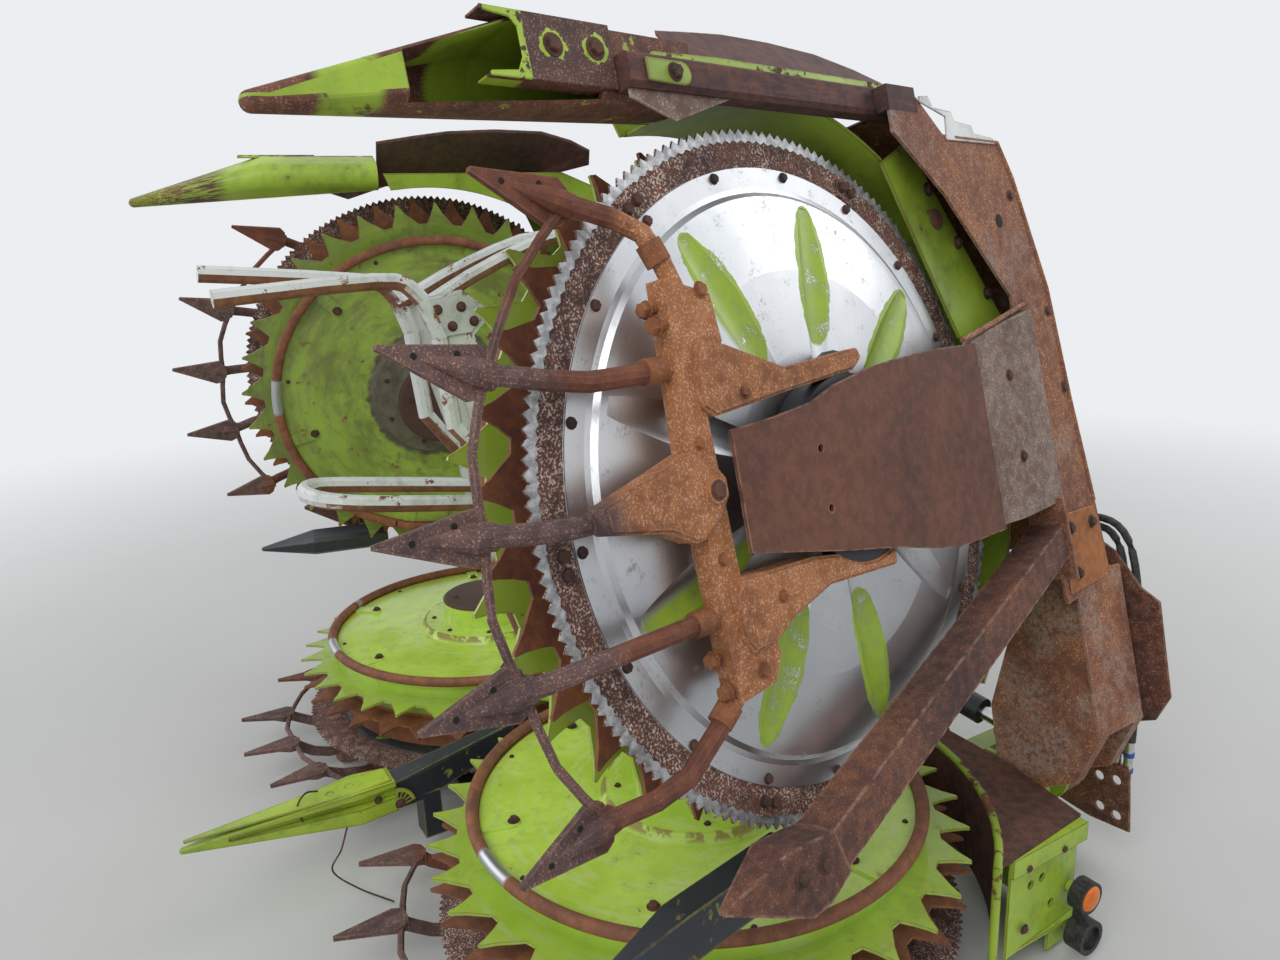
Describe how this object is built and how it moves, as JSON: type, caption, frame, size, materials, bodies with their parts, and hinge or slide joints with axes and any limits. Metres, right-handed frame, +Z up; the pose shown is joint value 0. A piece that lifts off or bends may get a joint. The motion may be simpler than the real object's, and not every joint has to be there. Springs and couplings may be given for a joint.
{
  "type": "folding rotary crop header of a forage harvester",
  "caption": "Wide folding header with toothed feed rotors over zigzag knife discs, parked with both wings folded up.",
  "frame": {"origin": "on the floor, midway between the axes of the two middle rotors", "axes": "+X towards the left side of travel, +Y from the crop side to the harvester, +Z up"},
  "size_m": [3.1994, 2.4998, 2.3383],
  "materials": {
    "green_paint": "worn gloss",
    "rusty_sheet": "rusted",
    "rusty_casting": "rusted",
    "bare_steel": "worn bright",
    "bright_steel": "polished",
    "slate_paint": "worn matt",
    "white_paint": "worn gloss",
    "hose_rubber": "matt"
  },
  "bodies": {
    "frame": {"main_frame": "green_paint", "coupling_frame": "green_paint", "guide_cl": "rusty_sheet", "guide_cr": "rusty_sheet", "end_box_l": "green_paint", "end_box_r": "green_paint", "gearbox_cl": "slate_paint", "gearbox_cr": "slate_paint", "skid_cl": "rusty_sheet", "skid_cr": "rusty_sheet", "fingers_cl": "rusty_casting", "fingers_cr": "rusty_casting", "divider_carrier": "slate_paint", "divider_nose": "green_paint", "guide_bars": "white_paint", "rear_guard_l": "rusty_sheet", "rear_guard_r": "rusty_sheet", "hoses": "hose_rubber", "couplings": "bright_steel", "drive_box": "slate_paint", "end_roller_l": "hose_rubber", "end_roller_r": "hose_rubber", "lock_socket_l": "green_paint", "lock_socket_r": "green_paint"},
    "rotor_cl": {"rotor_cl": "green_paint"},
    "rotor_cr": {"rotor_cr": "green_paint"},
    "knives_cl": {"knives_cl": "bare_steel"},
    "knives_cr": {"knives_cr": "bare_steel"},
    "drum_l": {"feed_drum_l": "rusty_sheet"},
    "drum_r": {"feed_drum_r": "rusty_sheet"},
    "wing_l": {"frame_wl": "rusty_sheet", "guide_wl": "green_paint", "gearbox_wl": "slate_paint", "skid_wl": "rusty_sheet", "fingers_wl": "rusty_casting", "brace_wl": "rusty_sheet", "outer_divider_l": "rusty_sheet", "inner_divider_l": "slate_paint", "shield_l": "rusty_sheet"},
    "wing_r": {"frame_wr": "rusty_sheet", "guide_wr": "green_paint", "gearbox_wr": "slate_paint", "skid_wr": "rusty_sheet", "fingers_wr": "rusty_casting", "brace_wr": "rusty_sheet", "outer_divider_r": "rusty_sheet", "inner_divider_r": "slate_paint", "shield_r": "rusty_sheet"},
    "rotor_wl": {"rotor_wl": "green_paint"},
    "rotor_wr": {"rotor_wr": "green_paint"},
    "knives_wl": {"knives_wl": "bare_steel"},
    "knives_wr": {"knives_wr": "bare_steel"},
    "barrel_l": {"barrel_l": "slate_paint"},
    "barrel_r": {"barrel_r": "slate_paint"},
    "rod_l": {"rod_l": "bright_steel"},
    "rod_r": {"rod_r": "bright_steel"}
  },
  "joints": [
    {"name": "fold_l", "type": "hinge", "parent": "frame", "child": "wing_l", "pos_m": [1.2335, 0, 0.373], "axis": [-0.0992, 0.9917, -0.0814], "range_deg": [0, 104]},
    {"name": "fold_r", "type": "hinge", "parent": "frame", "child": "wing_r", "pos_m": [-1.2335, 0, 0.373], "axis": [-0.0992, -0.9917, 0.0814], "range_deg": [0, 104]},
    {"name": "spin_rotor_cl", "type": "hinge", "parent": "frame", "child": "rotor_cl", "pos_m": [0.75, 0, 0.15], "axis": [0, 0, 1], "continuous": true},
    {"name": "spin_knives_cl", "type": "hinge", "parent": "frame", "child": "knives_cl", "pos_m": [0.75, 0, 0.15], "axis": [0, 0, 1], "continuous": true},
    {"name": "spin_drum_l", "type": "hinge", "parent": "frame", "child": "drum_l", "pos_m": [0.245, 0.85, 0.13], "axis": [0, 0, 1], "continuous": true},
    {"name": "spin_rotor_wl", "type": "hinge", "parent": "wing_l", "child": "rotor_wl", "pos_m": [1.21235, -0.00003, 1.41346], "axis": [-0.9522, -0.1965, -0.2337], "continuous": true},
    {"name": "spin_knives_wl", "type": "hinge", "parent": "wing_l", "child": "knives_wl", "pos_m": [1.21235, -0.00003, 1.41346], "axis": [-0.9522, -0.1965, -0.2337], "continuous": true},
    {"name": "spin_rotor_cr", "type": "hinge", "parent": "frame", "child": "rotor_cr", "pos_m": [-0.75, 0, 0.15], "axis": [0, 0, 1], "continuous": true},
    {"name": "spin_knives_cr", "type": "hinge", "parent": "frame", "child": "knives_cr", "pos_m": [-0.75, 0, 0.15], "axis": [0, 0, 1], "continuous": true},
    {"name": "spin_drum_r", "type": "hinge", "parent": "frame", "child": "drum_r", "pos_m": [-0.245, 0.85, 0.13], "axis": [0, 0, 1], "continuous": true},
    {"name": "spin_rotor_wr", "type": "hinge", "parent": "wing_r", "child": "rotor_wr", "pos_m": [-1.21235, -0.00003, 1.41346], "axis": [-0.9522, 0.1965, 0.2337], "continuous": true},
    {"name": "spin_knives_wr", "type": "hinge", "parent": "wing_r", "child": "knives_wr", "pos_m": [-1.21235, -0.00003, 1.41346], "axis": [-0.9522, 0.1965, 0.2337], "continuous": true},
    {"name": "swing_barrel_l", "type": "hinge", "parent": "frame", "child": "barrel_l", "pos_m": [0.54777, 0.94398, 0.48915], "axis": [-0.0992, 0.9917, -0.0814], "range_deg": [-0.5, 2.19]},
    {"name": "stroke_l", "type": "slide", "parent": "barrel_l", "child": "rod_l", "axis": [0.9854, 0.0865, -0.1465], "range_m": [-0.002, 0.2535]},
    {"name": "swing_barrel_r", "type": "hinge", "parent": "frame", "child": "barrel_r", "pos_m": [-0.54777, 0.94398, 0.48915], "axis": [-0.0992, -0.9917, 0.0814], "range_deg": [-0.5, 2.19]},
    {"name": "stroke_r", "type": "slide", "parent": "barrel_r", "child": "rod_r", "axis": [-0.9854, 0.0865, -0.1465], "range_m": [-0.002, 0.2535]}
  ],
  "couplings": [
    {"joint": "swing_barrel_l", "follows": "fold_l", "ratio": 0.016282},
    {"joint": "stroke_l", "follows": "fold_l", "m_per_rad": 0.13857},
    {"joint": "swing_barrel_r", "follows": "fold_r", "ratio": 0.016282},
    {"joint": "stroke_r", "follows": "fold_r", "m_per_rad": 0.13857}
  ]
}
